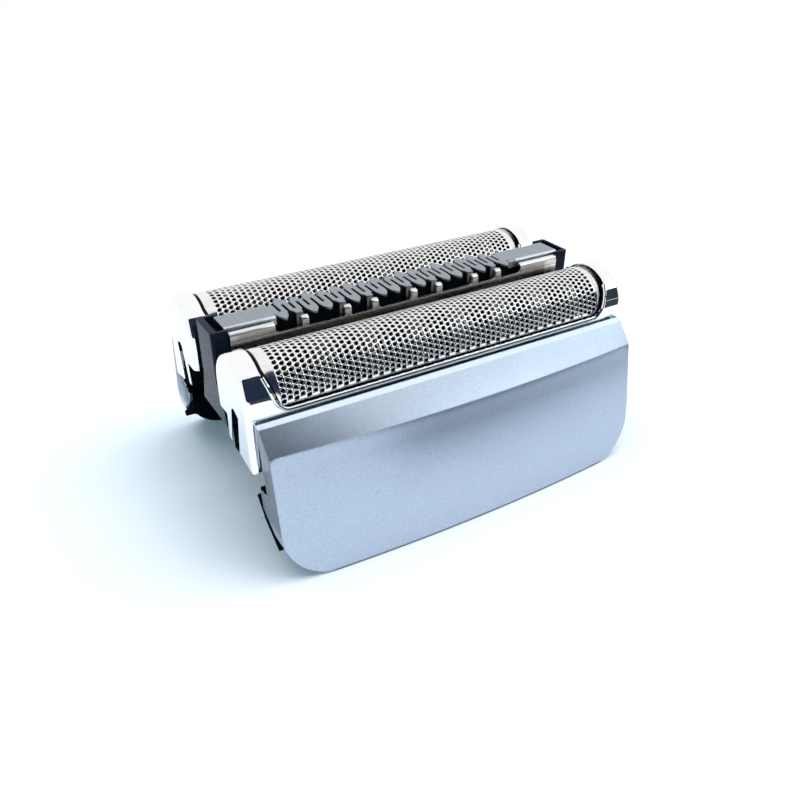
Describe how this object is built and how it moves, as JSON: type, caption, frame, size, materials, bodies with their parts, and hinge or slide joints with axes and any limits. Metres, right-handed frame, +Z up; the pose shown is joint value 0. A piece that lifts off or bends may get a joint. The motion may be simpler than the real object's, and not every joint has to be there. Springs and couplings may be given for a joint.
{
  "type": "shaver foil head",
  "caption": "Shaver head cassette with sprung perforated foils over arched cutters, a comb trimmer between them, and flared silver side panels.",
  "frame": {"origin": "middle of the lower edges of the side panels, on the surface that the head stands on", "axes": "+X along the foils, -Y towards the front panel, +Z up towards the foils"},
  "size_m": [0.0618, 0.0474, 0.0287],
  "materials": {
    "panel_paint": "satin metallic silver paint",
    "chrome_plate": "mirror",
    "foil_steel": "bright perforated sheet",
    "blade_steel": "ground",
    "spring_steel": "bright",
    "trimmer_steel": "polished",
    "plate_steel": "satin",
    "chassis_plastic": "moulded satin",
    "holder_plastic": "moulded satin",
    "inner_plastic": "moulded",
    "carrier_plastic": "moulded"
  },
  "bodies": {
    "housing": {"front_panel": "panel_paint", "rear_panel": "panel_paint", "chassis": "chassis_plastic", "front_foil_springs": "spring_steel", "rear_foil_springs": "spring_steel", "trimmer_springs": "spring_steel"},
    "trimmer": {"trimmer_channel": "trimmer_steel", "trimmer_end_left": "holder_plastic", "trimmer_end_right": "holder_plastic"},
    "trimmer_cutter": {"trimmer_cutter_plate": "plate_steel", "trimmer_slider": "inner_plastic"},
    "front_foil_head": {"front_foil_frame": "chrome_plate", "front_foil": "foil_steel", "front_foil_holder": "inner_plastic"},
    "front_cutter": {"front_cutter_blades": "blade_steel", "front_cutter_carrier": "carrier_plastic", "front_cutter_spring": "spring_steel", "front_drive_coupler": "carrier_plastic"},
    "rear_foil_head": {"rear_foil_frame": "chrome_plate", "rear_foil": "foil_steel", "rear_foil_holder": "inner_plastic"},
    "rear_cutter": {"rear_cutter_blades": "blade_steel", "rear_cutter_carrier": "carrier_plastic", "rear_cutter_spring": "spring_steel", "rear_drive_coupler": "carrier_plastic"}
  },
  "joints": [
    {"name": "front_foil_float", "type": "slide", "parent": "housing", "child": "front_foil_head", "axis": [0, 0, -1], "range_m": [0, 0.0025], "stiffness_N_per_m": 300, "springref_m": -0.002, "deforming": ["front_foil_springs"]},
    {"name": "front_cutter_shuttle", "type": "slide", "parent": "front_foil_head", "child": "front_cutter", "axis": [1, 0, 0], "range_m": [-0.001, 0.001]},
    {"name": "rear_foil_float", "type": "slide", "parent": "housing", "child": "rear_foil_head", "axis": [0, 0, -1], "range_m": [0, 0.0025], "stiffness_N_per_m": 300, "springref_m": -0.002, "deforming": ["rear_foil_springs"]},
    {"name": "rear_cutter_shuttle", "type": "slide", "parent": "rear_foil_head", "child": "rear_cutter", "axis": [1, 0, 0], "range_m": [-0.001, 0.001]},
    {"name": "trimmer_float", "type": "slide", "parent": "housing", "child": "trimmer", "axis": [0, 0, -1], "range_m": [0, 0.002], "stiffness_N_per_m": 300, "springref_m": -0.002, "deforming": ["trimmer_springs"]},
    {"name": "trimmer_shuttle", "type": "slide", "parent": "trimmer", "child": "trimmer_cutter", "axis": [1, 0, 0], "range_m": [-0.0004, 0.0009]}
  ]
}
